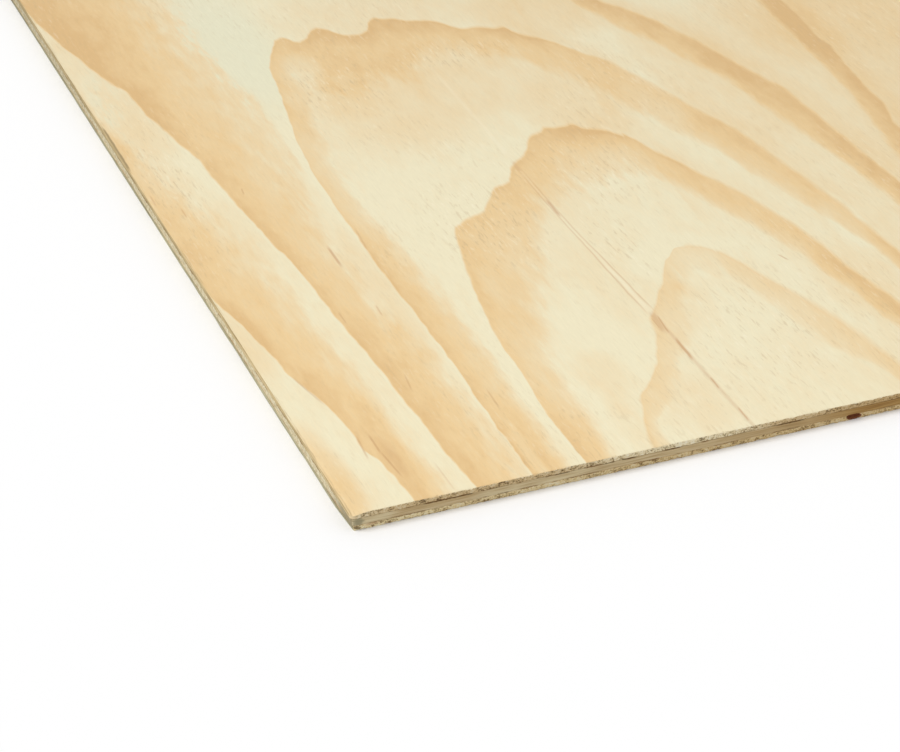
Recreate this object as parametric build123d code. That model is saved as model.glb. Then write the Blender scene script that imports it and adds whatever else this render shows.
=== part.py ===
from build123d import *
import os

# Plywood sheet, lying flat, in millimetres. The origin is at the middle of its underside,
# X runs across the sheet, Y along its length and its face grain, and Z up out of its face.

# Stock size
sheet_length = 2440.0
sheet_width = 1220.0

# Veneers, from the face down. The grain of the core runs across the other two.
face_thickness = 2.7
core_thickness = 3.6
back_thickness = 2.7

# The saw's arrises are barely eased, and three of the upright corners are nearly square
arris_radius = 0.3
corner_radius = 0.6

# The front left corner took a knock: it is worn round, its face veneer is crushed down, and a
# flat runs from its foot up to the face veneer and out along the left edge
worn_radius = 2.2
crush_drop = 1.3
crush_run = 8.0
flat_inset = 1.45
flat_run = 22.0

# Knot that breaks out of the front edge at the lower glue line
knot_from_corner = 248.2
knot_height = 2.0
knot_width = 7.0
knot_rise = 2.2
knot_depth = 2.0

# Stretches of the front edge where a glue line stands open, as (distance from the worn corner, length)
gap_opening = 0.35
gap_depth = 2.5
upper_gaps = [(34.0, 24.0), (98.0, 7.0), (121.0, 6.0), (131.0, 7.0), (152.0, 8.0), (208.0, 14.0)]
lower_gaps = [(25.0, 12.0), (70.0, 6.0), (80.0, 8.0), (110.0, 10.0), (137.0, 7.0), (213.0, 6.0)]

# Levels and the worn corner's place
core_bottom = back_thickness
core_top = core_bottom + core_thickness
sheet_top = core_top + face_thickness
left = -sheet_width / 2
front = -sheet_length / 2


def sheet_outline():
    """Plan of the sheet, with the worn corner first."""
    right = -left
    back = -front
    corners = FilletPolyline(
        (left, front),
        (right, front),
        (right, back),
        (left, back),
        radius=[worn_radius, corner_radius, corner_radius, corner_radius],
        close=True,
    )
    return make_face(corners)


def veneer(bottom, thickness):
    """One veneer, as wide and long as the sheet."""
    return Pos(0, 0, bottom) * extrude(sheet_outline(), thickness)


def crushed_corner():
    """What the knock took off the face: a rounding that runs down the diagonal to the corner."""
    clear = crush_run / 4
    falling = TangentArc((crush_run, 0), (0, -crush_drop), tangent=(-1, 0))
    outside = Polyline(
        (0, -crush_drop),
        (-clear, -crush_drop),
        (-clear, clear),
        (crush_run, clear),
        (crush_run, 0),
    )
    profile = make_face([falling, outside])
    corner = Plane(origin=(left, front, sheet_top), x_dir=(1, 1, 0), z_dir=(1, -1, 0))
    return extrude(corner * profile, crush_run + clear, both=True)


def worn_flat():
    """What was rubbed off below the face veneer: all that lies outside a plane across the corner."""
    run_end = Vector(left, front + flat_run, 0)
    foot = Vector(left + flat_inset, front, 0)
    peak = Vector(left, front, core_top)
    outward = (foot - run_end).cross(peak - run_end)
    flat = Plane(origin=run_end, x_dir=foot - run_end, z_dir=outward)
    return flat * Pos(0, 0, flat_run / 2) * Box(4 * flat_run, 4 * flat_run, flat_run)


def knot():
    """Hollow that the knot leaves, as an ellipsoid half inside the front edge."""
    hollow = scale(Sphere(0.5), by=(knot_width, 2 * knot_depth, knot_rise))
    return Pos(left + knot_from_corner, front, knot_height) * hollow


def open_gap(start, length, bottom):
    """Open glue line: a thin slot in the front edge, deepest at its middle."""
    plan = Ellipse(length / 2, gap_depth)
    middle = left + start + length / 2
    return Pos(middle, front, bottom) * extrude(plan, gap_opening)


def face_veneer():
    """Top veneer, with its grain along the sheet."""
    ply = veneer(core_top, face_thickness)
    ply = fillet(ply.faces().sort_by(Axis.Z)[-1].edges(), arris_radius)
    return ply - crushed_corner()


def core_veneer():
    """Crossband, with its grain across the sheet and the open glue lines cut into it."""
    ply = veneer(core_bottom, core_thickness)
    for start, length in upper_gaps:
        ply -= open_gap(start, length, core_top - gap_opening)
    for start, length in lower_gaps:
        ply -= open_gap(start, length, core_bottom)
    return ply - worn_flat() - knot()


def back_veneer():
    """Bottom veneer, with its grain along the sheet."""
    ply = veneer(0, back_thickness)
    ply = fillet(ply.faces().sort_by(Axis.Z)[0].edges(), arris_radius)
    return ply - worn_flat() - knot()


os.makedirs("parts", exist_ok=True)
export_step(face_veneer(), "parts/face_veneer.step")
export_step(core_veneer(), "parts/core_veneer.step")
export_step(back_veneer(), "parts/back_veneer.step")
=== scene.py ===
import math
import bmesh
import bpy
from mathutils import Matrix, Vector, noise


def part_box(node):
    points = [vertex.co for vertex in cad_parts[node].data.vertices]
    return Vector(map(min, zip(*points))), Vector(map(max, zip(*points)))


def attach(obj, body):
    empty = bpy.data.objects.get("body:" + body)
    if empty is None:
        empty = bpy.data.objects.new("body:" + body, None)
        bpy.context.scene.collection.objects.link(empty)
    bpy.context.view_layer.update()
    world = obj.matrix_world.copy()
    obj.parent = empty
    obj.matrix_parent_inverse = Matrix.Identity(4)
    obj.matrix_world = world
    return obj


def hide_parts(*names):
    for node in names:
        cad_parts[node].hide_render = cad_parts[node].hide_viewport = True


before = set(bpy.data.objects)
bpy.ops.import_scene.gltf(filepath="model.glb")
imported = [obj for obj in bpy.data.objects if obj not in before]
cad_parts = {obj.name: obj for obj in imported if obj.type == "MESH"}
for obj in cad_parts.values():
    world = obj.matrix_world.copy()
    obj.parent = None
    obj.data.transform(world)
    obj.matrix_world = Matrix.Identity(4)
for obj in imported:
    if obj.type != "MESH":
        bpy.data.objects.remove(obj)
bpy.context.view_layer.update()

mm = 0.001

# the worn corner is the front left one, and every pattern is measured from it, in mm
faceLow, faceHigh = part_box("face_veneer")
coreLow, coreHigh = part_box("core_veneer")
sheet = {
    "left": faceLow.x,
    "front": faceLow.y,
    "width": (faceHigh.x - faceLow.x) / mm,
    "length": (faceHigh.y - faceLow.y) / mm,
    "upperGlue": coreHigh.z / mm,
    "lowerGlue": coreLow.z / mm,
}
print("sheet", {name: round(value, 4) for name, value in sheet.items()})


# the camera of the photograph, fitted to the edges of the sheet
cameraSet = {
    "place": (-433.97, -1160.06, 900.51),
    "turn": 22.477,
    "tilt": 33.435,
    "roll": 0.9386,
    "lens": 138.9,
    "sensor": 36,
    "clip": (0.05, 60),
}


def fromCorner(x, y, z):
    return Vector((sheet["left"] + x * mm, sheet["front"] + y * mm, z * mm))


def stand(name, data):
    # a thing made of this data, in the scene
    thing = bpy.data.objects.new(name, data)
    bpy.context.scene.collection.objects.link(thing)
    return thing


def makeCamera():
    turn, tilt, roll = (math.radians(cameraSet[name]) for name in ("turn", "tilt", "roll"))
    ahead = Vector((math.sin(turn) * math.cos(tilt), math.cos(turn) * math.cos(tilt), -math.sin(tilt)))
    level = Vector((math.cos(turn), -math.sin(turn), 0))
    up = level.cross(ahead)
    across = level * math.cos(roll) + up * math.sin(roll)
    up = up * math.cos(roll) - level * math.sin(roll)
    data = bpy.data.cameras.new("camera")
    data.sensor_width = cameraSet["sensor"]
    data.lens = cameraSet["lens"]
    data.clip_start, data.clip_end = cameraSet["clip"]
    camera = stand("camera", data)
    turned = Matrix((across, up, -ahead)).transposed().to_4x4()
    camera.matrix_world = Matrix.Translation(fromCorner(*cameraSet["place"])) @ turned
    bpy.context.scene.camera = camera
    bpy.context.scene.view_settings.view_transform = "Standard"


makeCamera()
print("camera ready")


class Wire:
    # one socket: sums and products of wires add their Math nodes
    def __init__(self, maker, socket):
        self.maker = maker
        self.socket = socket

    def __add__(self, other):
        return self.maker.math("ADD", self, other)

    def __radd__(self, other):
        return self.maker.math("ADD", other, self)

    def __sub__(self, other):
        return self.maker.math("SUBTRACT", self, other)

    def __rsub__(self, other):
        return self.maker.math("SUBTRACT", other, self)

    def __mul__(self, other):
        return self.maker.math("MULTIPLY", self, other)

    def __rmul__(self, other):
        return self.maker.math("MULTIPLY", other, self)

    def __truediv__(self, other):
        return self.maker.math("DIVIDE", self, other)

    def __rtruediv__(self, other):
        return self.maker.math("DIVIDE", other, self)

    def __abs__(self):
        return self.maker.math("ABSOLUTE", self)


class Maker:
    # builds the nodes of one material, or of the world
    def __init__(self, owner):
        self.owner = owner
        owner.use_nodes = True
        self.nodes = owner.node_tree.nodes
        self.links = owner.node_tree.links
        self.nodes.clear()

    def add(self, kind, settings=None, values=None, out=0):
        node = self.nodes.new("ShaderNode" + kind)
        for name, value in (settings or {}).items():
            if name == "stops":
                self.setStops(node.color_ramp, value)
            elif name == "points":
                self.setPoints(node.mapping, value)
            else:
                setattr(node, name, value)
        for name, value in (values or {}).items():
            if isinstance(value, Wire):
                self.links.new(value.socket, node.inputs[name])
            else:
                node.inputs[name].default_value = value
        return Wire(self, node.outputs[out]) if node.outputs else None

    def setStops(self, ramp, stops):
        while len(ramp.elements) < len(stops):
            ramp.elements.new(1)
        for element, (place, colour) in zip(ramp.elements, stops):
            element.position = place
            element.color = (*colour, 1)

    def setPoints(self, mapping, points):
        curve = mapping.curves[0]
        for number, (a, b) in enumerate(points):
            point = curve.points[number] if number < 2 else curve.points.new(a, b)
            point.location = (a, b)
            point.handle_type = "VECTOR"
        mapping.update()

    def math(self, operation, *terms, clamp=False):
        return self.add("Math", {"operation": operation, "use_clamp": clamp}, dict(enumerate(terms)))

    def fold(self, operation, first, *rest):
        for term in rest:
            first = self.math(operation, first, term)
        return first

    def least(self, *terms):
        return self.fold("MINIMUM", *terms)

    def most(self, *terms):
        return self.fold("MAXIMUM", *terms)

    def step(self, value, low, high, least=0.0, most=1.0, soft=True):
        way = "SMOOTHSTEP" if soft else "LINEAR"
        ends = {"Value": value, "From Min": low, "From Max": high, "To Min": least, "To Max": most}
        return self.add("MapRange", {"interpolation_type": way}, ends)

    def fall(self, value, low, high, height=1.0):
        # a height at low, and 0 at high
        return self.step(value, low, high, height, 0.0)

    def span(self, value, start, full, fading, end):
        # 1 from full to fading, and 0 outside start and end
        return self.step(value, start, full) * self.fall(value, fading, end)

    def mix(self, share, a, b):
        return self.add("Mix", {"data_type": "FLOAT"}, {0: share, 2: a, 3: b})

    def tint(self, share, a, b, blend="MIX"):
        return self.add("Mix", {"data_type": "RGBA", "blend_type": blend}, {0: share, 6: a, 7: b}, out=2)

    def vector(self, operation, *terms, out=0):
        return self.add("VectorMath", {"operation": operation}, dict(enumerate(terms)), out)

    def place(self):
        # where a point is, in mm from the worn corner
        here = self.add("TexCoord", out=3)
        moved = self.vector("SUBTRACT", here, (sheet["left"], sheet["front"], 0))
        return self.vector("MULTIPLY", moved, (1 / mm, 1 / mm, 1 / mm))

    def parts(self, vector):
        split = self.add("SeparateXYZ", None, {0: vector})
        outs = split.socket.node.outputs
        return [Wire(self, outs[number]) for number in range(3)]

    def join(self, x, y, z=0.0):
        return self.add("CombineXYZ", None, {0: x, 1: y, 2: z})

    def noise(self, vector, grain, shift=0.0, detail=2.0, rough=0.5):
        # grain is the size of the noise in mm along X, Y and Z
        scaled = self.vector("MULTIPLY", vector, tuple(1 / size for size in grain))
        moved = self.vector("ADD", scaled, (shift, shift * 0.7, shift * 1.3))
        values = {"Vector": moved, "Scale": 1.0, "Detail": detail, "Roughness": rough}
        return self.add("TexNoise", None, values)

    def blob(self, at, middle, size, height=1.0, soft=1.0):
        # height in the middle of an oval patch, falling to 0 at its rim
        scale = (1 / size[0], 1 / size[1], 0)
        shift = (-middle[0] / size[0], -middle[1] / size[1], 0)
        away = self.vector("MULTIPLY_ADD", at, scale, shift)
        return self.fall(self.vector("DOT_PRODUCT", away, away, out=1), 0.0, soft, height)

    def finish(self, colour, roughness, height, depth, shine=0.35):
        # depth is the bump's full height in mm
        bump = self.add("Bump", None, {"Strength": 1.0, "Distance": depth * mm, "Height": height})
        values = {"Base Color": colour, "Roughness": roughness, "Normal": bump, "Specular IOR Level": shine}
        shader = self.add("BsdfPrincipled", None, values)
        self.add("OutputMaterial", None, {"Surface": shader})
        return self.owner


def shade(red, green, blue):
    # a screen colour, 0 to 255, as the linear colour that a material takes
    def linear(value):
        value = value / 255
        return value / 12.92 if value <= 0.04045 else ((value + 0.055) / 1.055) ** 2.4
    return (linear(red), linear(green), linear(blue), 1.0)


# growth rings of the face near the worn corner, outermost first. A flank is a list of (distance up
# the sheet, distance across it) and a tip of (distance across, distance up). The outer line is the
# sharp side of the dark wood, and the inner line is where it has faded out.
far = 640
ringSet = {
    "upReach": 700,
    "acrossReach": 500,
    "acrossLow": -60,
    "tipSlope": 0.45,
    # how far short of a ring the wood outside them all is, and how many rings there are from there
    "before": 0.13,
    "span": 5.6,
    # how wide a line's edge is from left to right, and where the right flanks start
    "softness": (190, 290, 2.0, 4.8),
    "rightFrom": (235, 285),
    # how far tan wood reaches outside a line on the right flanks, and where it starts
    "haze": 18.0,
    "hazeAcross": (225, 262),
    "hazeUp": (90, 240, 0.2, 1.0),
    "rings": [
        {
            "left": [
                (0, 30.5), (20, 28.5), (38, 25.5), (44, 23.4), (60, 23), (75, 21.8), (90, 18.5),
                (105, 15), (115, 12), (130, 10.5), (149, 8), (170, 4.5), (187, 0.9), (260, -14),
                (700, -55),
            ],
            "leftInner": [
                (0, 51), (60, 46), (100, 47), (150, 44), (200, 42), (235, 38), (260, 32), (300, 24),
                (350, 12), (400, 5), (700, -45),
            ],
            "right": [
                (0, 400), (150, 392), (230, 393), (250, 397.5), (262, 396.5), (300, 399), (317, 400),
                (330, 398.5), (375, 399), (700, 396),
            ],
            "rightInner": [
                (0, 380), (200, 374), (240, 381), (268, 383), (316, 384), (376, 384), (700, 372),
            ],
        },
        {
            "left": [
                (0, 59.5), (30, 57), (55, 56), (100, 53.8), (130, 52), (156, 50.5), (190, 48.7),
                (208, 47.2), (225, 44.5), (252, 42.2), (280, 39.8), (300, 38), (320, 37), (340, 32.5),
                (360, 29.5), (375, 26.3), (395, 25.2), (403, 23.8), (410, 20), (430, 14.5), (450, 10.5),
                (470, 5.5), (493, 2), (540, -4), (700, -30),
            ],
            "leftInner": [
                (0, 86), (110, 86), (150, 77), (240, 75), (300, 86), (350, 91), (400, 86), (450, 82),
                (700, 74),
            ],
            "right": [
                (0, 376), (177, 365), (217, 360), (258, 356), (283, 354), (303, 347), (324, 340),
                (346, 334), (362, 328), (377, 323), (390, 315.6), (410, 303), (450, 290), (520, 272),
                (700, 235),
            ],
            "rightInner": [
                (0, 364), (177, 350), (217, 343), (250, 336), (300, 328), (346, 310), (377, 298),
                (410, 288), (520, 250), (700, 210),
            ],
        },
        {
            "left": [
                (0, 86.5), (70, 86.7), (110, 88), (152, 86.7), (190, 85.8), (260, 86.5), (290, 87.2),
                (319, 90), (349, 95.5), (381, 101.5), (402, 104), (415, 109), (424, 113.5), (432, 118),
                (700, 121),
            ],
            "leftInner": [
                (0, 108), (60, 108), (100, 110), (200, 107), (250, 101), (300, 104), (340, 110),
                (370, 118), (440, 136), (700, 140),
            ],
            "tip": [
                (100, 600), (113, 430), (118, 429.5), (122, 430), (128.5, 421.5), (134, 425),
                (138.3, 432), (143.3, 435), (148.3, 431), (153.3, 422.5), (163.3, 419), (168.3, 421),
                (171.7, 429), (177, 434), (186.7, 431), (196, 425), (206, 419), (212, 412), (218, 407),
                (228, 403), (240, 400.5), (243, 392), (254, 381), (262, 450), (275, far),
            ],
            "tipInner": [
                (100, 600), (112, 376), (122, 362), (130, 352), (148, 350), (160, 358), (170, 350),
                (180, 362), (185, 380), (196, 380), (205, 374), (215, 370), (230, 362), (240, 352),
                (250, 340), (262, 400), (275, far),
            ],
            "right": [
                (0, 342), (121, 331), (164, 327), (210, 318), (235, 313), (258, 308), (283, 299),
                (303, 293.3), (318, 288), (345, 278), (367, 263), (392, 246.7), (700, 246),
            ],
            "rightInner": [
                (0, 332), (121, 321), (184, 304), (235, 289), (283, 268), (318, 254), (345, 240),
                (367, 230), (392, 222), (700, 220),
            ],
        },
        {
            "left": [
                (0, 113), (30, 112), (50, 112), (70, 113.5), (90, 114.3), (110, 115.5), (135, 118.3),
                (150, 120.8), (170, 125), (192, 130), (203, 132.5), (215, 136), (700, 138),
            ],
            "leftInner": [
                (0, 131), (50, 134), (100, 139), (150, 162), (180, 174), (200, 181), (215, 190),
                (700, 194),
            ],
            "tip": [
                (118, 600), (128, 220), (132.5, 209), (138.3, 212.5), (145, 216), (154, 218.5),
                (160, 228), (168, 238.5), (178, 243), (184, 256), (189, 262.5), (196, 266), (202, 276),
                (206, 283), (213, 285), (217, 289), (222, 286), (231.7, 288.5), (235, 281), (246, 275),
                (252, 266), (262, 330), (275, far),
            ],
            "tipInner": [
                (140, 600), (150, 165), (160, 184), (170, 196), (180, 204), (190, 210), (200, 214),
                (215, 219), (240, 222), (250, 220), (256, 218), (262, 300), (275, far),
            ],
            "right": [
                (0, 318), (73, 309.3), (93, 305.5), (116, 300.4), (133, 299), (150, 296), (163, 292.5),
                (187, 286), (210, 276.7), (233, 266.7), (252, 259.2), (272, 251), (700, 250),
            ],
            "rightInner": [
                (0, 305), (73, 294), (100, 289), (133, 282), (163, 272), (187, 261), (210, 252),
                (233, 245), (252, 239), (700, 232),
            ],
        },
        {
            "soft": 2.0,
            "left": [
                (0, 146), (20, 151), (40, 158), (50, 167), (60, 176), (70, 181), (85, 187),
                (100, 190.5), (104, 194), (113, 200), (125, 208), (138, 215), (147, 221), (153, 227),
                (160, 250), (700, 250),
            ],
            "leftInner": [
                (0, 156), (20, 158), (27, 165), (35, 176), (50, 184), (60, 190), (80, 205), (100, 212),
                (122, 222), (700, 234),
            ],
            "tip": [
                (205, 600), (217, 160), (225, 153.5), (229, 156), (236, 155), (242, 152), (247, 146),
                (252, 138), (262, 400), (275, far),
            ],
            "tipInner": [
                (210, far), (220, 120), (232, 124), (242, 116), (252, 300), (262, far),
            ],
            "right": [
                (0, 289), (22, 285), (52, 279), (83, 271.7), (108, 262.5), (123, 256.7), (137, 251.7),
                (150, 246), (700, 246),
            ],
            "rightInner": [
                (0, 280), (25, 271), (52, 257), (83, 251), (123, 240), (150, 232), (700, 232),
            ],
        },
    ],
}


def cornerRings(make, x, y):
    # ring count and fraction: it passes a whole number at each sharp line and rises to the next
    up = y / ringSet["upReach"]
    across = x / ringSet["acrossReach"]
    low = ringSet["acrossLow"]
    span = ringSet["acrossReach"] - low

    def flank(points):
        scaled = [(a / ringSet["upReach"], (b - low) / span) for a, b in points]
        return make.math("MULTIPLY_ADD", make.add("FloatCurve", {"points": scaled}, {"Value": up}), span, low)

    def tip(points):
        # both of its ends lie far up the sheet
        reach = ringSet["acrossReach"]
        scaled = [(a / reach, b / far) for a, b in ((0, far), *points, (reach, far))]
        return make.add("FloatCurve", {"points": scaled}, {"Value": across}) * far

    number = -ringSet["before"]
    haze = 0.0
    soft = make.step(x, *ringSet["softness"])
    right = make.step(x, *ringSet["rightFrom"])
    for count, ring in enumerate(ringSet["rings"]):
        outside = make.least(x - flank(ring["left"]), flank(ring["right"]) - x)
        inside = make.least(x - flank(ring["leftInner"]), flank(ring["rightInner"]) - x)
        if "tip" in ring:
            outside = make.least(outside, (tip(ring["tip"]) - y) * ringSet["tipSlope"])
            inside = make.least(inside, (tip(ring["tipInner"]) - y) * ringSet["tipSlope"])
        band = make.most(outside - inside, 1.0)
        share = make.math("DIVIDE", outside, band, clamp=True)
        share = make.mix(right, share, share * share)
        deep = make.step(inside, 0.0, 14.0, 0.0, 0.09, soft=False)
        spread = soft * ring.get("soft", 1.0)
        edge = (outside - (spread - 2) * 0.4) / spread
        number = make.mix(make.step(edge, -1.0, 0.8), number, share * 0.8 + deep + (count + 0.03))
        haze = make.most(haze, make.span(outside, -ringSet["haze"], 0.0, 0.0, 3.0))
    haze = haze * make.step(x, *ringSet["hazeAcross"]) * make.step(y, *ringSet["hazeUp"])
    return number, haze, right


lightSet = {
    "world": 0.6,
    "seeWhite": ("Is Camera Ray", "Is Glossy Ray", "Is Transmission Ray"),
    "sun": 1.53,
    "sunFrom": (-1.0, 0.3, 1.5),
    "sunSoft": 26,
}


def makeLight():
    # the camera, gloss and glass see white, and everything else gets the plain level
    world = bpy.data.worlds.new("studio")
    bpy.context.scene.world = world
    make = Maker(world)
    rays = [make.add("LightPath", out=name) for name in lightSet["seeWhite"]]
    level = make.step(make.most(*rays), 0, 1, lightSet["world"], 1, soft=False)
    sky = make.add("Background", None, {"Color": (1, 1, 1, 1), "Strength": level})
    make.add("OutputWorld", None, {"Surface": sky})
    data = bpy.data.lights.new("window", "SUN")
    data.energy = lightSet["sun"]
    data.angle = math.radians(lightSet["sunSoft"])
    sun = stand("window", data)
    sun.rotation_mode = "QUATERNION"
    sun.rotation_quaternion = Vector(lightSet["sunFrom"]).to_track_quat("Z", "Y")


# half its width in metres, and its grey where only light bounces off it
floorSet = {"half": 20, "grey": 0.8}


def makeFloor():
    bm = bmesh.new()
    bmesh.ops.create_grid(bm, x_segments=1, y_segments=1, size=floorSet["half"])
    mesh = bpy.data.meshes.new("floor")
    bm.to_mesh(mesh)
    bm.free()
    floor = stand("floor", mesh)
    make = Maker(bpy.data.materials.new("paleFloor"))
    rays = make.add("LightPath")
    grey = floorSet["grey"]
    colour = make.tint(rays, (grey, grey, grey, 1), (1, 1, 1, 1))
    shader = make.add("BsdfDiffuse", None, {"Color": colour})
    make.add("OutputMaterial", None, {"Surface": shader})
    mesh.materials.append(make.owner)


makeLight()
makeFloor()
print("light and floor ready")


# places are in mm from the worn corner, as (across, up the sheet), read off the photograph
faceSet = {
    "light": (243, 233, 198),
    "pale": (241, 222, 181),
    "tan": (238, 206, 152),
    "deep": (226, 188, 131),
    "green": (234, 232, 202),
    # the marks' colour is partly painted shade, and the tufts' colour, also used between the crease lines, is
    # partly painted highlight
    "tickAndShade": (197, 172, 131),
    "crease": (196, 148, 100),
    "tuftHighlightAndPale": (255, 247, 224),
    "arris": (160, 138, 96),
    # how worn the left arris is, up the sheet
    "worn": [
        (0, 0.5), (70, 0.5), (130, 0.1), (165, 0.35), (235, 0.35), (250, 0.1), (316, 0.15), (326, 1),
        (366, 1), (376, 0.2), (440, 0.15), (470, 0.4), (520, 0.4), (600, 0.15), (700, 0.15),
    ],
    # how much dimmer the face gets away from the corner
    "dim": (60, 560, 1.0, 0.885),
    "lean": 0.037,
    # darkness from one ring's sharp outer line to the next ring's
    "ring": [
        (0, 0.84), (0.04, 0.93), (0.2, 0.85), (0.5, 0.68), (0.65, 0.44), (0.79, 0.14), (0.9, 0.02),
        (0.94, 0), (1, 0.82),
    ],
    # how strong each drawn ring is, outermost first
    "strength": [
        (0, 0.92), (0.2, 0.94), (0.21, 0.98), (0.37, 0.98), (0.38, 0.92), (0.73, 0.92), (0.742, 0.56),
        (1, 0.5),
    ],
    # light wood that is tanner than the rest: middle, half size, darkness
    "patches": [
        ((0, 25), (15, 62), 0.55), ((36, 45), (9, 60), 0.2), ((24, 100), (10, 30), 0.15),
        ((2, 345), (7, 32), 0.25), ((145, 22), (9, 34), 0.2), ((152, 64), (18, 26), 0.14),
        ((119, 15), (8, 40), 0.14), ((6, 18), (16, 26), 0.15), ((4, 150), (12, 50), 0.3),
        ((5, 250), (14, 50), 0.15), ((20, 372), (24, 60), 0.3), ((10, 445), (16, 50), 0.2),
        ((25, 490), (50, 60), 0.16), ((34, 240), (11, 50), 0.12), ((60, 220), (14, 90), -0.15),
        ((68, 250), (12, 34), 0.2), ((32, 390), (12, 60), -0.12), ((55, 335), (30, 100), -0.2),
        ((80, 170), (11, 85), 0.3), ((93, 286), (11, 80), -0.36), ((92, 12), (4, 46), -0.2),
        ((84, 20), (5, 40), 0.28), ((99, 20), (7, 50), 0.22), ((105, 385), (20, 36), -0.2),
        ((120, 392), (13, 26), -0.28), ((120, 80), (16, 55), -0.22), ((130, 350), (22, 30), 0.15),
        ((150, 60), (16, 40), 0.12), ((155, 345), (70, 62), 0.3), ((158, 195), (34, 50), -0.14),
        ((175, 25), (26, 42), 0.22), ((190, 342), (20, 26), -0.18), ((190, 388), (18, 16), 0.25),
        ((192, 165), (42, 90), 0.12), ((205, 445), (110, 45), 0.2), ((208, 345), (50, 42), 0.2),
        ((215, 100), (14, 30), 0.15), ((220, 372), (14, 20), 0.15), ((222, 128), (14, 26), 0.2),
        ((228, 146), (34, 26), -0.24), ((130, 150), (6, 24), -0.24), ((103, 352), (8, 30), -0.24),
        ((232, 246), (40, 40), -0.16), ((239, 250), (14, 28), -0.14), ((150, 300), (60, 32), 0.12),
        ((240, 20), (75, 60), 0.1), ((240, 300), (36, 50), 0.26), ((268, 412), (48, 48), 0.36),
        ((285, 300), (16, 50), -0.25), ((300, 95), (24, 50), 0.18), ((318, 320), (34, 130), 0.24),
        ((321, 150), (11, 36), -0.24), ((322, 350), (12, 30), -0.16), ((365, 350), (34, 60), 0.16),
        ((385, 350), (34, 60), 0.14), ((430, 350), (60, 60), 0.1),
    ],
    "greenPatches": [((92, 432), (34, 105)), ((12, 380), (12, 60))],
    "rough": [
        ((235, 68), (48, 66)), ((222, 240), (36, 50)), ((130, 370), (36, 45)), ((150, 210), (40, 60)),
        ((200, 382), (44, 20)), ((205, 170), (18, 50)), ((16, 310), (20, 60)),
    ],
    # thin dark streaks: both ends, half width, strength
    "streaks": [
        ((50, -2), (49.2, 28), 0.7, 0.35), ((29.5, 58), (29.5, 38), 0.8, 0.85),
        ((29.5, 44), (32, 17), 0.8, 0.85), ((34, 14), (34, 56), 3.6, 0.3),
        ((24, 59), (22.4, 36), 0.8, 0.75), ((19.8, 83), (12.4, 116), 0.9, 0.6),
        ((63, 98), (61, 81), 0.7, 0.6), ((94, 73), (93.5, 54), 0.7, 0.6),
        ((53, 159), (53, 146), 0.7, 0.6), ((72, 159), (71.5, 146), 0.7, 0.6),
        ((69, 219), (69, 194), 1.1, 1.0), ((48, 286), (47, 278), 0.7, 0.7),
        ((13, 278), (13, 266), 0.7, 0.6), ((2.5, 296), (2, 282), 0.7, 0.6),
        ((88, 230), (86, 203), 0.8, 0.5), ((277, 124), (274, 132), 0.8, 0.8),
    ],
    # the pressed line up the face: its middle, and half the distance between its two lines
    "creaseLine": [
        (0, 196.7), (20, 195.9), (50, 195), (80, 194.2), (104, 193.3), (120, 192.4), (150, 190.9),
        (180, 189.2), (210, 188.2), (250, 187.4), (300, 187.2), (400, 184.6),
    ],
    "creaseHalf": [(0, 1.8), (105, 2.1), (145, 1.7), (180, 1.0), (400, 0.8)],
    # where up the sheet both lines show, and then the pale line
    "creaseWhole": (98, 118, 228, 268),
    "creasePale": (258, 276, 345, 385),
    "creaseMarks": [
        ((193.6, 108), (192, 84), 2.6, 0.6), ((195, 104), (193.4, 82), 0.8, 0.9),
        ((191.4, 102), (191.4, 88), 0.8, 0.7), ((194.6, 84), (194.2, 56), 1.3, 1.0),
        ((195.6, 46), (195.2, 31), 0.9, 0.9), ((196.6, 19), (196.2, 2), 0.9, 0.9),
        ((188.6, 223), (188, 200), 1.4, 0.8), ((187, 264), (187, 249), 1.6, 0.4),
    ],
}


def strip(make, value, points, width=1.0, reach=1.0):
    # a drawn curve: value runs from 0 to reach, and the result from 0 to width
    scaled = [(a / reach, b / width) for a, b in points]
    return make.add("FloatCurve", {"points": scaled}, {"Value": value / reach}) * width


def ramp(make, value, stops):
    stops = [(place, shade(*colour)[:3]) for place, colour in stops]
    return make.add("ValToRGB", {"stops": stops}, {0: value})


# the slow swell that the knife cuts through, and a ripple on it: sizes in mm, heights in rings
swellSet = {
    "rise": (430, 1700, 60),
    "riseRings": 19,
    "ripple": (80, 420, 20),
    "rippleRings": 1.6,
    "faceShift": 17.0,
    "backShift": 40.0,
}


def sheetRings(make, fibre, shift):
    # the figure of rotary-cut wood: level lines of a slow swell that is long up the sheet
    rise = make.noise(fibre, swellSet["rise"], shift, 1.2, 0.3)
    ripple = make.noise(fibre, swellSet["ripple"], shift + 5, 2, 0.5)
    return (rise - 0.5) * swellSet["riseRings"] + (ripple - 0.5) * swellSet["rippleRings"]


# the arches round the corner, as ovals about a point of the front edge that leans left farther up
nestSet = {
    "middle": 235,
    "leanFrom": 200,
    "lean": 0.26,
    "wide": 42,
    "tall": 190,
    "rings": 5.0,
    # how many ovals out the open sheet's figure comes in
    "blend": (2.5, 13.0),
    # how far up and across the photograph shows the face, and how far past that the drawn rings fade
    "seenUp": 524,
    "seenAcross": 272,
    "fade": (35.0, 200.0),
}


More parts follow.
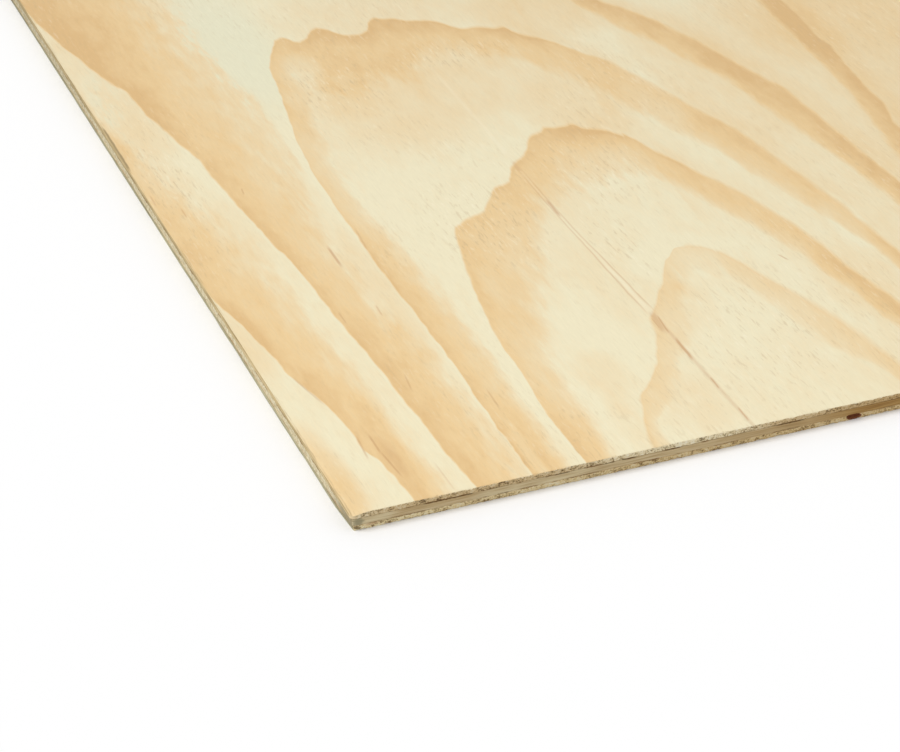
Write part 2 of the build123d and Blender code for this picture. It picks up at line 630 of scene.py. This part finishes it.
def faceRings(make, fibre, x, y):
    # drawn rings where the corner shows them, then the nest of arches round them, then the open sheet
    dx = (x - nestSet["middle"] + make.most(y - nestSet["leanFrom"], 0) * nestSet["lean"]) / nestSet["wide"]
    dy = y / nestSet["tall"]
    away = make.math("SQRT", dx * dx + dy * dy)
    nest = nestSet["rings"] - make.math("SMOOTH_MIN", away, 9.0, 3.0)
    number = nest + sheetRings(make, fibre, swellSet["faceShift"]) * make.step(away, *nestSet["blend"])
    above = (y - nestSet["seenUp"] + x * 0.373) * 0.937
    beside = (x - nestSet["seenAcross"]) * 0.882 - y * 0.471
    beyond = make.math("SMOOTH_MAX", above, beside, 120.0)
    unseen = make.step(beyond, *nestSet["fade"])
    drawn, haze, right = cornerRings(make, x, y)
    return make.mix(unseen, drawn, number), unseen, haze, right


def ringTone(make, fibre, number, shift):
    # darkness of the wood across a ring, with a blotchy edge on its soft side
    ring = make.math("FRACT", number)
    room = make.span(ring, 0.04, 0.4, 0.72, 0.93)
    blotch = make.noise(fibre, (6, 24, 9), shift, 4, 0.6) - 0.5
    streak = make.noise(fibre, (1.5, 30, 9), shift + 2, 2) - 0.5
    ring = ring + (blotch * 0.6 + streak * 0.1) * room
    return make.add("FloatCurve", {"points": faceSet["ring"]}, {"Value": ring})


def ringShare(make, number, low, high):
    # rings of the open sheet differ in strength from one to the next
    whole = make.math("FLOOR", number)
    return make.add("TexWhiteNoise", {"noise_dimensions": "1D"}, {"W": whole}) * (high - low) + low


def jogged(make, x, y):
    # ring lines are never quite smooth
    at = make.join(x, y)
    jag = make.noise(at, (14, 24, 9), 3.1, 1) - 0.5
    nick = make.noise(at, (4.5, 11, 9), 5.4, 1) - 0.5
    lift = make.noise(at, (12, 70, 9), 7.7, 1) - 0.5
    return x + jag * 2.2 + nick * 1.8, y + lift * 7


def patches(make, at):
    total = 0
    for middle, size, darkness in faceSet["patches"]:
        total = total + make.blob(at, middle, size, darkness)
    return total


def streaks(make, x, y, drawn):
    masks = []
    for (x0, y0), (x1, y1), width, strength in drawn:
        share = (y - (y0 + y1) / 2) / (y1 - y0)
        off = abs(x - (x0 + x1) / 2 - share * (x1 - x0))
        masks.append(make.fall(off, width * 0.2, width) * make.fall(abs(share), 0.2, 0.5, strength))
    return make.most(*masks)


def ticks(make, fibre, at):
    # short marks where the knife lifted the fibres, dense in some parts and rare in others. The dark marks
    # are partly tan wood and partly painted shade of the lifted fibres, and the light tufts are partly pale
    # fibres and partly painted highlight
    marks = make.noise(fibre, (1.3, 7.5, 3), 14.2, 2)
    dense = make.noise(fibre, (60, 130, 30), 8.8, 1)
    dense = make.step(dense, 0.42, 0.62, 0.2, 0.6)
    spots = [make.blob(at, middle, size, 1.0, 1.2) for middle, size in faceSet["rough"]]
    dense = make.most(dense, *spots)
    return make.step(marks, 0.56, 0.73) * dense, make.fall(marks, 0.26, 0.42) * dense


def creases(make, fibre, x, y):
    # a pair of fine pressed lines with lighter wood between them, and a brown band near the front edge
    wander = make.noise(fibre, (30, 18, 9), 6.1, 2) - 0.5
    off = abs(x + wander * 1.1 - strip(make, y, faceSet["creaseLine"], 300, 400))
    half = strip(make, y, faceSet["creaseHalf"], 3, 400)
    whole = make.span(y, *faceSet["creaseWhole"])
    band = make.fall(off, 0.2, 1.7) * make.fall(y, 90.0, 112.0, 0.4)
    lines = make.fall(abs(off - half), 0.1, 0.75) * whole * make.step(y, 150.0, 185.0, 0.5, 0.4)
    marks = streaks(make, x + wander * 1.1, y, faceSet["creaseMarks"])
    between = make.fall(off / half, 0.2, 0.7) * whole * make.step(y, 140.0, 165.0, 1.0, 0.3)
    # farther up it is a faint pale line
    pale = make.fall(off, 0.2, 1.6, 0.55) * make.span(y, *faceSet["creasePale"])
    return make.most(lines, band, marks), make.most(between, pale)


def leftArris(make, fibre, x, y):
    # a thin worn line that wavers along the left edge
    wander = make.noise(fibre, (9, 9, 9), 16.5, 2) - 0.5
    off = abs(x + wander * 1.1 - 0.55)
    worn = strip(make, y, faceSet["worn"], 1, 700)
    broken = make.step(make.noise(fibre, (3, 14, 9), 18.0, 1), 0.42, 0.6, 0.3, 1.0)
    return make.fall(off / (0.45 + worn * worn * 0.7), 0.2, 1.0) * worn * make.most(broken, worn)


def faceColour(make, here, x, y):
    fibre = make.join(x + y * faceSet["lean"], y, make.parts(here)[2])
    number, unseen, haze, right = faceRings(make, fibre, *jogged(make, x, y))
    dark = ringTone(make, fibre, number, 1.3)
    along = (number + ringSet["before"]) / ringSet["span"]
    drawn = make.add("FloatCurve", {"points": faceSet["strength"]}, {"Value": along})
    drawn = drawn * (1 - right * 0.1)
    dark = dark * make.mix(unseen, drawn, ringShare(make, number, 0.62, 1.0))
    # the light wood is tanner away from the corner and in patches
    east = make.step(x - y * 0.1, 250.0, 420.0) * (0.42 - unseen * 0.3)
    cloud = make.noise(fibre, (45, 220, 20), 9.2, 2) - 0.5
    mottle = make.noise(fibre, (6, 16, 9), 2.6, 3, 0.6) - 0.5
    fine = make.noise(fibre, (0.9, 8, 1), 5.5, 2) - 0.5
    at = make.join(x, y)
    ground = east + (patches(make, at) + haze * 0.24) * (1 - unseen) + cloud * 0.34
    dark = dark * (1 - ground * 0.45) + ground + mottle * 0.36 + fine * 0.1
    colour = ramp(make, dark, [
        (0, faceSet["light"]), (0.3, faceSet["pale"]), (0.76, faceSet["tan"]), (1, faceSet["deep"]),
    ])
    green = make.most(*(make.blob(at, middle, size) for middle, size in faceSet["greenPatches"]))
    colour = make.tint(green * make.fall(dark, 0.12, 0.35, 0.75), colour, shade(*faceSet["green"]))
    # darker away from the corner, and the fine grey noise added in is painted shade of the fibres' relief
    dim = make.step(x * 0.8 + y * 0.72, *faceSet["dim"], soft=False) + fine * 0.1
    colour = make.tint(1.0, colour, make.join(dim, dim, dim), "MULTIPLY")
    dentsAndShade, tuftsAndHighlights = ticks(make, fibre, at)
    pressed, between = creases(make, fibre, x, y)
    # the marks darken in painted shade of the lifted fibres and the tufts lighten in a painted highlight; the
    # wood between the crease lines is paler
    colour = make.tint(dentsAndShade * (dark * 0.16 + 0.32), colour, shade(*faceSet["tickAndShade"]))
    colour = make.tint(make.most(tuftsAndHighlights * 0.25, between * 0.22), colour, shade(*faceSet["tuftHighlightAndPale"]))
    lined = make.most(pressed, streaks(make, x, y, faceSet["streaks"]) * 0.8)
    colour = make.tint(lined * 0.7, colour, shade(*faceSet["crease"]))
    colour = make.tint(leftArris(make, fibre, x, y), colour, shade(*faceSet["arris"]))
    return colour, dark, fibre, make.most(dentsAndShade, pressed)


# the sawn edges, end grain first: dark, middle and light of each
edgeSet = {
    "faceEnd": ((126, 104, 68), (239, 221, 178), (253, 247, 222)),
    "faceSide": ((152, 128, 84), (202, 180, 132), (226, 204, 158)),
    "coreEnd": ((182, 166, 126), (216, 202, 165), (238, 230, 202)),
    "coreLong": ((192, 166, 122), (221, 203, 161), (240, 228, 194)),
    "backEnd": ((144, 118, 78), (247, 228, 176), (253, 247, 218)),
    "backSide": ((132, 124, 94), (176, 168, 134), (208, 200, 164)),
    "backWood": ((236, 221, 184), (233, 212, 168), (226, 191, 138), (214, 174, 120)),
    "brown": (203, 174, 128),
    # torn fibres at the top arris, partly a painted highlight
    "speckAndHighlight": (252, 240, 214),
    "wornCore": (150, 136, 104),
    "glue": (138, 102, 56),
    "knot": (120, 66, 32),
    # the dark wood of the knot reaches lower than its hollow
    "knotMiddle": (248.9, 1.5),
    "knotSize": (4.0, 1.65),
    # how much dimmer an edge gets away from the corner, and again far up the sheet
    "dim": (150, 400, 1.0, 0.82),
    "farDim": (360, 430, 1.0, 0.92),
    # how far the photographed stretch of the front edge goes, and how brown each veneer is along it
    "shown": 300,
    "browned": {
        "face": [
            (0, 0.15), (20, 0.57), (100, 0.57), (125, 0.2), (150, 0), (185, 0.1), (210, 0.6),
            (300, 0.9),
        ],
        "core": [
            (0, 0), (17, 0.05), (24, 0.5), (56, 0.5), (66, 0.1), (100, 0.05), (140, 0.3), (180, 0.5),
            (225, 0.7), (250, 1), (300, 1),
        ],
        "back": [(0, 0.1), (20, 0.05), (60, 0.28), (100, 0.3), (140, 0.42), (180, 0.5), (300, 0.6)],
    },
    # each glue line's place in the noise, and where it shows dark along it, as (from, to, strength)
    "glueShift": {"upperGlue": 31.0, "lowerGlue": 51.0},
    "upperGlue": [
        (25, 30, 0.7), (34, 58, 1), (62, 70, 0.4), (79, 82, 0.8), (92, 106, 0.6), (112, 122, 0.9),
        (124, 128, 0.9), (131, 138, 1), (151, 160, 1), (170, 175, 0.9), (208, 222, 1), (238, 246, 0.5),
        (262, 280, 0.7),
    ],
    "lowerGlue": [
        (8, 14, 0.6), (18, 36, 1), (51, 55, 0.7), (62, 66, 0.8), (71, 76, 0.9), (80, 90, 1),
        (96, 100, 0.7), (103, 119, 0.9), (136, 150, 1), (157, 161, 0.8), (176, 190, 0.8),
        (206, 222, 0.9), (256, 270, 0.6),
    ],
    # torn fibres, dark spots, a painted highlight and painted shade at the worn corner: middle as (across,
    # height), half size, colour, strength
    # the face's cream patch: torn fibres and a painted highlight where the chipped top turns up
    "faceMarks": [((1.2, 7), (2.9, 1.6), (238, 214, 170), 0.85)],
    # the core's grey-green patch: its end grain and painted shade on the rounded corner's turn
    "coreMarks": [((3.5, 4.6), (3.6, 3.3), (150, 142, 110), 0.85)],
    "backMarks": [
        ((3, 1.4), (2.2, 1.1), (112, 92, 58), 0.85), ((10, 2.1), (4.6, 0.8), (206, 168, 130), 0.6),
    ],
}


def edgeMasks(make):
    # how far a surface is an edge of the sheet, and how far that edge faces along the length
    normal = make.add("TexCoord", out=1)
    nx, ny, nz = make.parts(normal)
    upright = make.fall(abs(nz), 0.45, 0.75)
    along = make.step(abs(ny), 0.6, 0.8)
    return upright, along


def sawnGrain(make, here, fibres, shift):
    # one solid noise of fibres: a stipple where they are cut across, streaks where they run along
    def size(thick, long):
        return (thick, long, thick * 0.8) if fibres == "length" else (long, thick, thick * 0.8)
    fine = make.noise(here, size(0.9, 14), shift, 1)
    coarse = make.noise(here, size(2.8, 60), shift + 4, 2)
    return fine * 0.5 + coarse * 0.5


def sawnColour(make, value, across, end, side):
    # end grain has the stronger contrast
    sharp = (value - 0.5) * 2.3 + 0.5
    dull = (value - 0.5) * 1.9 + 0.5
    places = (0.12, 0.5, 0.86)
    cut = ramp(make, sharp, list(zip(places, edgeSet[end])))
    long = ramp(make, dull, list(zip(places, edgeSet[side])))
    return make.tint(across, long, cut)


def seenFront(make, x, y):
    # 1 on the photographed stretch of the front edge
    shown = edgeSet["shown"]
    return make.fall(y, 2.0, 4.0) * make.fall(x, shown - 15, shown - 1)


def browned(make, colour, x, y, along, veneer, shift):
    # sawn ends are brown in stretches, and every edge is dimmer away from the corner
    wild = make.step(make.noise(make.join(x, y), (60, 60, 60), shift, 2), 0.35, 0.65, 0.05, 0.8)
    drawn = strip(make, x, edgeSet["browned"][veneer], 1.0, edgeSet["shown"])
    share = make.mix(seenFront(make, x, y), wild, drawn) * along
    dim = make.step(x * 0.2 + y * 0.75, *edgeSet["dim"], soft=False) * make.step(y, *edgeSet["farDim"])
    colour = make.tint(share, colour, shade(*edgeSet["brown"]), "MULTIPLY")
    return make.tint(1.0, colour, make.join(dim, dim, dim), "MULTIPLY")


def glued(make, colour, x, y, z, which):
    # a glue line is brown and broken along the edge
    shift = edgeSet["glueShift"][which]
    points = [(0, 0)]
    for start, end, strength in edgeSet[which]:
        points += [(start, 0), (start + 1.2, strength), (end - 1.2, strength), (end, 0)]
    points += [(edgeSet["shown"], 0)]
    drawn = strip(make, x, points, 1.0, edgeSet["shown"])
    wild = make.step(make.noise(make.join(x, y), (9, 9, 9), shift, 2), 0.5, 0.6)
    path = make.mix(seenFront(make, x, y), wild, drawn)
    ragged = make.noise(make.join(x, y), (1.8, 1.8, 1), shift + 2, 2)
    thick = 0.16 + path * (0.06 + ragged * 0.42)
    off = abs(z - sheet[which] + (ragged - 0.5) * 0.5)
    line = make.fall(off / thick, 0.3, 1.2) * (0.3 + path * 0.68)
    return make.tint(line, colour, shade(*edgeSet["glue"]))


def knotMask(make, x, y, z):
    dx = (x - edgeSet["knotMiddle"][0]) / edgeSet["knotSize"][0]
    dz = (z - edgeSet["knotMiddle"][1]) / edgeSet["knotSize"][1]
    return make.fall(dx * dx + dz * dz, 0.7, 1.15) * make.fall(y, 4.0, 6.0)


def marked(make, colour, here, x, y, z, marks):
    # the worn corner's torn fibres, dark spots, painted highlight and painted shade, with ragged outlines
    ragged = make.noise(here, (1.4, 1.4, 1), 33.0, 2) - 0.5
    near = make.fall(y, 1.5, 4.0)
    at = make.join(x + ragged * 3.2, z + ragged * 1.2)
    for middle, size, tone, strength in edgeSet[marks]:
        spot = make.blob(at, middle, size, strength)
        colour = make.tint(spot * near, colour, shade(*tone))
    return colour


def faceWood():
    make = Maker(bpy.data.materials.new("faceWood"))
    here = make.place()
    x, y, z = make.parts(here)
    colour, dark, fibre, dentsAndShade = faceColour(make, here, x, y)
    upright, along = edgeMasks(make)
    grain = sawnGrain(make, here, "length", 21.0)
    edge = sawnColour(make, grain - dark * 0.05, along, "faceEnd", "faceSide")
    edge = browned(make, edge, x, y, along, "face", 25.0)
    # light specks along the top of the sawn face: torn fibres, partly a painted highlight on the arris
    specksAndHighlights = make.step(make.noise(here, (1.1, 1.1, 0.9), 27.0, 1), 0.55, 0.66) * make.step(z, 8.2, 8.7)
    edge = make.tint(specksAndHighlights * along * 0.7, edge, shade(*edgeSet["speckAndHighlight"]))
    edge = marked(make, edge, here, x, y, z, "faceMarks")
    edge = glued(make, edge, x, y, z, "upperGlue")
    colour = make.tint(upright, colour, edge)
    flat = make.noise(fibre, (0.5, 20, 0.5), 4.4, 2) * 0.3 - dentsAndShade * 0.5
    height = make.mix(upright, flat, grain * 2)
    return make.finish(colour, make.mix(upright, 0.52, 0.8), height, 0.09)


def coreWood():
    make = Maker(bpy.data.materials.new("coreWood"))
    here = make.place()
    x, y, z = make.parts(here)
    upright, along = edgeMasks(make)
    grain = sawnGrain(make, here, "width", 41.0)
    edge = sawnColour(make, grain, 1 - along, "coreEnd", "coreLong")
    edge = browned(make, edge, x, y, along, "core", 44.0)
    edge = marked(make, edge, here, x, y, z, "coreMarks")
    worn = make.fall(y, 8.0, 28.0, 0.8) * (1 - along)
    edge = make.tint(worn, edge, shade(*edgeSet["wornCore"]))
    edge = glued(make, edge, x, y, z, "upperGlue")
    edge = glued(make, edge, x, y, z, "lowerGlue")
    edge = make.tint(knotMask(make, x, y, z), edge, shade(*edgeSet["knot"]))
    return make.finish(edge, 0.8, grain, 0.09)


def backWood():
    make = Maker(bpy.data.materials.new("backWood"))
    here = make.place()
    x, y, z = make.parts(here)
    upright, along = edgeMasks(make)
    fibre = make.join(x - y * 0.02, y, z)
    jagX, jagY = jogged(make, x, y)
    number = sheetRings(make, make.join(jagX, jagY, z), swellSet["backShift"])
    dark = ringTone(make, fibre, number, 61.0) * ringShare(make, number + 30, 0.55, 1.0)
    mottle = make.noise(fibre, (3.2, 14, 9), 62.6, 3) - 0.5
    fine = make.noise(fibre, (0.7, 12, 1), 65.5, 2) - 0.5
    tone = dark + mottle * 0.3 + fine * 0.35
    colour = ramp(make, tone, list(zip((0, 0.3, 0.75, 1), edgeSet["backWood"])))
    grain = sawnGrain(make, here, "length", 61.0)
    edge = sawnColour(make, grain, along, "backEnd", "backSide")
    edge = browned(make, edge, x, y, along, "back", 65.0)
    edge = marked(make, edge, here, x, y, z, "backMarks")
    edge = glued(make, edge, x, y, z, "lowerGlue")
    colour = make.tint(upright, colour, edge)
    colour = make.tint(knotMask(make, x, y, z), colour, shade(*edgeSet["knot"]))
    return make.finish(colour, 0.75, grain, 0.09)


# the outline's rounded corners, worn one first, and the wide faces' cells, in mm
outlineSet = {"radii": (2.2, 0.6, 0.6, 0.6), "turnSteps": 6, "cells": (61, 122)}


def outline(bm, steps):
    # the sheet's plan as wide cells, its rim divided finely enough for a sawn edge
    across, up = outlineSet["cells"]
    bmesh.ops.create_grid(bm, x_segments=across, y_segments=up, size=0.5)
    bmesh.ops.scale(bm, vec=(sheet["width"] * mm, sheet["length"] * mm, 1), verts=bm.verts)
    corners = [vert for vert in bm.verts if len(vert.link_edges) == 2]
    corners.sort(key=lambda vert: vert.co.to_tuple(3))
    for corner, radius in zip(corners, outlineSet["radii"]):
        bmesh.ops.bevel(
            bm, geom=[corner], offset=radius * mm, offset_type="OFFSET", affect="VERTICES",
            segments=outlineSet["turnSteps"], profile=0.5, material=-1,
        )
    for edge in [edge for edge in bm.edges if edge.is_boundary and edge.calc_length() > 10 * mm]:
        middle = (edge.verts[0].co + edge.verts[1].co) / 2
        side = "left" if abs(edge.verts[0].co.x - edge.verts[1].co.x) < mm else "front"
        if side == "front" and middle.y > 0:
            side = "back"
        bmesh.ops.bisect_edges(bm, edges=[edge], cuts=int(edge.calc_length() / mm / steps[side]))


def squeeze(inset):
    return (1 - inset * 2 / sheet["width"], 1 - inset * 2 / sheet["length"])


def stackLoops(bm, loops, steps):
    # from the wide face out to the arris, down the edge and under: (inset, height) of each loop, in mm
    outline(bm, steps)
    wide, long = squeeze(loops[0][0])
    bmesh.ops.scale(bm, vec=(wide, long, 1), verts=bm.verts)
    bmesh.ops.translate(bm, vec=(0, 0, loops[0][1] * mm), verts=bm.verts)
    edges = [edge for edge in bm.edges if edge.is_boundary]
    made = [list({vert for edge in edges for vert in edge.verts})]
    before = loops[0]
    for loop in loops[1:]:
        grown = bmesh.ops.extrude_edge_only(bm, edges=edges)["geom"]
        verts = [item for item in grown if isinstance(item, bmesh.types.BMVert)]
        edges = [item for item in grown if isinstance(item, bmesh.types.BMEdge)]
        moving = set(verts)
        edges = [edge for edge in edges if moving.issuperset(edge.verts)]
        new, old = squeeze(loop[0]), squeeze(before[0])
        bmesh.ops.scale(bm, vec=(new[0] / old[0], new[1] / old[1], 1), verts=verts)
        bmesh.ops.translate(bm, vec=(0, 0, (loop[1] - before[1]) * mm), verts=verts)
        before = loop
        made.append(verts)
    bmesh.ops.contextual_create(bm, geom=edges)
    bmesh.ops.recalc_face_normals(bm, faces=bm.faces)
    return made


def swell(x, y, z=0.0):
    # smooth noise about 0, from -1 to 1, the same on each run
    return noise.noise(Vector((x, y, z)))


def inward(place):
    # which way is into the sheet at its rim, and how far that is along the length
    reach = outlineSet["radii"][0] * mm
    dx = max(0, abs(place.x) - (sheet["width"] * mm / 2 - reach))
    dy = max(0, abs(place.y) - (sheet["length"] * mm / 2 - reach))
    size = math.hypot(dx, dy)
    if size == 0:
        return Vector((0, 0, 0)), 0
    way = Vector((-math.copysign(dx, place.x), -math.copysign(dy, place.y), 0)) / size
    return way, abs(way.y)


# what the saw, the knock and the knot took off, in mm
wearSet = {
    "torn": 0.17,
    "smooth": 0.08,
    # how deep and high a chip is, and how far down the edge and in over the face chips reach
    "chip": (0.6, 0.48),
    "chipReach": 0.7,
    "chipInset": 1.5,
    "crushDrop": 1.3,
    "crushRun": 8.0,
    # how much of its thickness the crushed veneer keeps
    "crushKeep": 0.3,
    "arrisDrop": 0.9,
    "arrisReach": 2.0,
    "arrisRun": 100,
    "arrisFade": 60,
    "flatInset": 1.45,
    "flatRun": 22.0,
    # how much of the sawn surface's depth the worn flat keeps
    "flatKeep": 0.6,
    "knotPlace": (248.2, 2.0),
    "knotHalf": (3.5, 1.4, 1.1),
    # the knot and the open glue lines are looked for this near the front edge
    "frontReach": 6,
    "gapOpening": 0.3,
    "gapDepth": 1.2,
    "upperGaps": [(34, 24), (98, 7), (121, 6), (131, 7), (152, 8), (208, 14)],
    "lowerGaps": [(25, 12), (70, 6), (80, 8), (110, 10), (137, 7), (213, 6)],
}


def sawDepth(run, z, across, seed):
    # how far in the sawn surface lies: torn where fibres are cut across, nearly smooth along them
    torn = 0.9 + swell(run / 0.9, z / 0.8, seed) + 0.6 * swell(run / 7, z / 3, seed + 5)
    smooth = 0.9 + 0.6 * swell(run / 11, z / 0.7, seed) + 0.7 * swell(run / 60, z / 3, seed + 5)
    return max(0, wearSet["torn"] * torn * across + wearSet["smooth"] * smooth * (1 - across))


def chipDepth(run, across, seed):
    # chips along an arris: many small ones across the grain, few long ones along it
    torn = max(0, swell(run / 2.4, seed) - 0.05) * 0.9 + max(0, swell(run / 0.9, seed + 3)) * 0.4
    split = max(0, swell(run / 22, seed) - 0.2) * 0.7
    return torn * across + split * (1 - across)


def crushFall(x, y):
    # how far the knock lowered the face, down an arc along the corner's diagonal, and how far the
    # left arris is rounded beside it
    drop, run = wearSet["crushDrop"], wearSet["crushRun"]
    radius = (run * run + drop * drop) / (2 * drop)
    along = run - (x + y) / math.sqrt(2)
    knocked = radius - math.sqrt(radius * radius - along * along) if 0 < along < run else 0
    near = max(0, 1 - x / wearSet["arrisReach"])
    fade = (wearSet["arrisRun"] - y) / wearSet["arrisFade"]
    rounded = wearSet["arrisDrop"] * near * near * min(1, max(0, fade))
    return max(knocked, rounded * (0.8 + 0.4 * swell(y / 9, 3)))


def wornFlat(y, z):
    # how far in the flat below the face veneer lies, from the left edge
    return wearSet["flatInset"] * (1 - y / wearSet["flatRun"] - z / sheet["upperGlue"])


def gapReach(x, stretches):
    # depth of an open glue line at a place along the front edge
    for start, length in stretches:
        half = (x - start - length / 2) / (length / 2)
        if abs(half) < 1:
            return wearSet["gapDepth"] * math.sqrt(1 - half * half)
    return 0


def knotReach(x, z):
    wide, deep, high = wearSet["knotHalf"]
    dx = (x - wearSet["knotPlace"][0]) / wide
    dz = (z - wearSet["knotPlace"][1]) / high
    return deep * math.sqrt(max(0, 1 - dx * dx - dz * dz))


# the loops of each veneer's surface: (inset, drop) over its wide face, then drops down its edge, and
# insets below. A veneer shows its upper side (1), its lower side (-1) or its edges alone (0).
veneerSet = {
    "face_veneer": {
        "piece": "faceVeneer",
        "fibres": "length",
        "slot": "face_wood",
        "shown": 1,
        "loops": [(8, 0), (4.5, 0), (2.2, 0), (1.1, 0), (0.4, 0), (0.08, 0.09)],
        "walls": [0.3, 0.8, 1.3, 1.8, 2.3, 2.6],
        "under": [0.15],
        "steps": {"front": 0.6, "back": 1.2, "left": 1.5},
        "seed": 1.5,
        "wideShare": 0.8,
    },
    "core_veneer": {
        "piece": "coreVeneer",
        "fibres": "width",
        "slot": "core_wood",
        "shown": 0,
        "loops": [(5, 0), (2.4, 0), (1.2, 0), (0.12, 0)],
        "walls": [0.15, 0.4, 1.1, 1.8, 2.5, 3.2, 3.45],
        "under": [0.12, 1.2, 2.4],
        "steps": {"front": 0.9, "back": 1.6, "left": 1.6},
        "seed": 4.5,
        "wideShare": 0.03,
    },
    "back_veneer": {
        "piece": "backVeneer",
        "fibres": "length",
        "slot": "back_wood",
        "shown": -1,
        "loops": [(4, 0), (0.12, 0)],
        "walls": [0.15, 0.5, 0.9, 1.3, 1.7, 2.1, 2.4],
        "under": [0.1, 0.8, 3],
        "steps": {"front": 0.6, "back": 1.2, "left": 1.5},
        "seed": 8.5,
        "wideShare": 0.75,
    },
}


def openGlue(x, z, inset, height, top, bottom):
    # the core gives way where a glue line stands open
    opening = wearSet["gapOpening"]
    if top - height < opening and inset < gapReach(x, wearSet["upperGaps"]):
        z = min(z, top - opening)
    if height - bottom < opening and inset < gapReach(x, wearSet["lowerGaps"]):
        z = max(z, bottom + opening)
    return z


def weather(node, made, loops, top, bottom):
    # every loop of a veneer takes its torn grain, chips, crushed corner, open glue and knot
    these = veneerSet[node]
    seed, shown = these["seed"], these["shown"]
    arris = top if shown > 0 else bottom
    chipIn, chipDown = wearSet["chip"]
    for verts, (inset, height) in zip(made, loops):
        reach = max(0, 1 - abs(height - arris) / wearSet["chipReach"]) * abs(shown)
        reach *= max(0, 1 - inset / wearSet["chipInset"])
        onEdge = inset < 0.5
        for vert in verts:
            way, across = inward(vert.co)
            x = (vert.co.x - sheet["left"]) / mm
            y = (vert.co.y - sheet["front"]) / mm
            torn = across if these["fibres"] == "length" else 1 - across
            chip = chipDepth(x + y, torn, seed) * reach
            depth = (sawDepth(x + y, height, torn, seed) if onEdge else 0) + chip * chipIn
            z = height - chip * chipDown * shown
            if shown > 0:
                z = min(z, top - crushFall(x, y) - (top - height) * wearSet["crushKeep"])
            elif y < wearSet["frontReach"]:
                if onEdge:
                    depth += knotReach(x, z)
                if shown == 0:
                    z = openGlue(x, z, inset, height, top, bottom)
            vert.co += way * depth * mm
            vert.co.z = z * mm
            if shown <= 0 and y < wearSet["flatRun"]:
                flat = wornFlat(y, z) + depth * wearSet["flatKeep"]
                vert.co.x = max(vert.co.x, sheet["left"] + flat * mm)


# the edges lie in rows, and the margins are those of the map, of its lowest strip and of a row's ends
mapSet = {"rows": 20, "margin": 0.005, "stripMargin": 0.002, "endMargin": 0.01, "rowFill": 0.8}


def unwrap(bm, node):
    # the map for baked textures: the wide face that shows fills most of it, and the edges lie in rows
    these = veneerSet[node]
    layer = bm.loops.layers.uv.new("OFBake")
    low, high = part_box(node)
    thick = high.z - low.z
    rows, margin, fill = mapSet["rows"], mapSet["margin"], mapSet["rowFill"]
    stripMargin, endMargin = mapSet["stripMargin"], mapSet["endMargin"]
    rim = 2 * (sheet["width"] + sheet["length"])
    share = these["wideShare"]
    rowHigh = (1 - share) / (rows + 1)
    for face in bm.faces:
        middle = face.calc_center_bounds()
        wide = abs(face.normal.z) > 0.7
        shown = face.normal.z * these["shown"] > 0
        side = sideRun(middle)
        for loop in face.loops:
            place = loop.vert.co
            across = (place.x - sheet["left"]) / mm / sheet["width"]
            up = (place.y - sheet["front"]) / mm / sheet["length"]
            u = margin + across * (1 - 2 * margin)
            if wide and shown:
                v = 1 - share + up * (share - margin)
            elif wide:
                v = stripMargin + up * (rowHigh - 2 * stripMargin)
            else:
                run = sideRun(place, side[1])[0] / rim * rows
                row = min(rows - 1, int(side[0] / rim * rows))
                level = (place.z - low.z) / thick
                u = endMargin + (run - row) * (1 - 2 * endMargin)
                v = (row + 1.5 + (level - 0.5) * fill) * rowHigh
            loop[layer].uv = (u, v)


def sideRun(place, side=None):
    # distance round the rim in mm, from the worn corner, and which edge that is
    x = (place.x - sheet["left"]) / mm
    y = (place.y - sheet["front"]) / mm
    wide, long = sheet["width"], sheet["length"]
    if side is None:
        side = min(range(4), key=lambda number: (y, wide - x, long - y, x)[number])
    return (x, wide + y, wide + long + wide - x, 2 * wide + long + long - y)[side], side


def makeVeneer(node, wood):
    these = veneerSet[node]
    low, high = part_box(node)
    top, bottom = high.z / mm, low.z / mm
    loops = [(inset, top - drop) for inset, drop in these["loops"]]
    loops += [(0, top - drop) for drop in these["walls"]]
    loops += [(inset, bottom) for inset in these["under"]]
    bm = bmesh.new()
    made = stackLoops(bm, loops, these["steps"])
    weather(node, made, loops, top, bottom)
    bm.normal_update()
    unwrap(bm, node)
    mesh = bpy.data.meshes.new(these["piece"])
    bm.to_mesh(mesh)
    bm.free()
    mesh.materials.append(wood)
    piece = stand(these["piece"], mesh)
    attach(piece, "root")
    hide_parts(node)
    triangles = sum(len(face.vertices) - 2 for face in mesh.polygons)
    print(these["piece"], "triangles", triangles)


makeVeneer("face_veneer", faceWood())
makeVeneer("core_veneer", coreWood())
makeVeneer("back_veneer", backWood())
print("veneers ready")
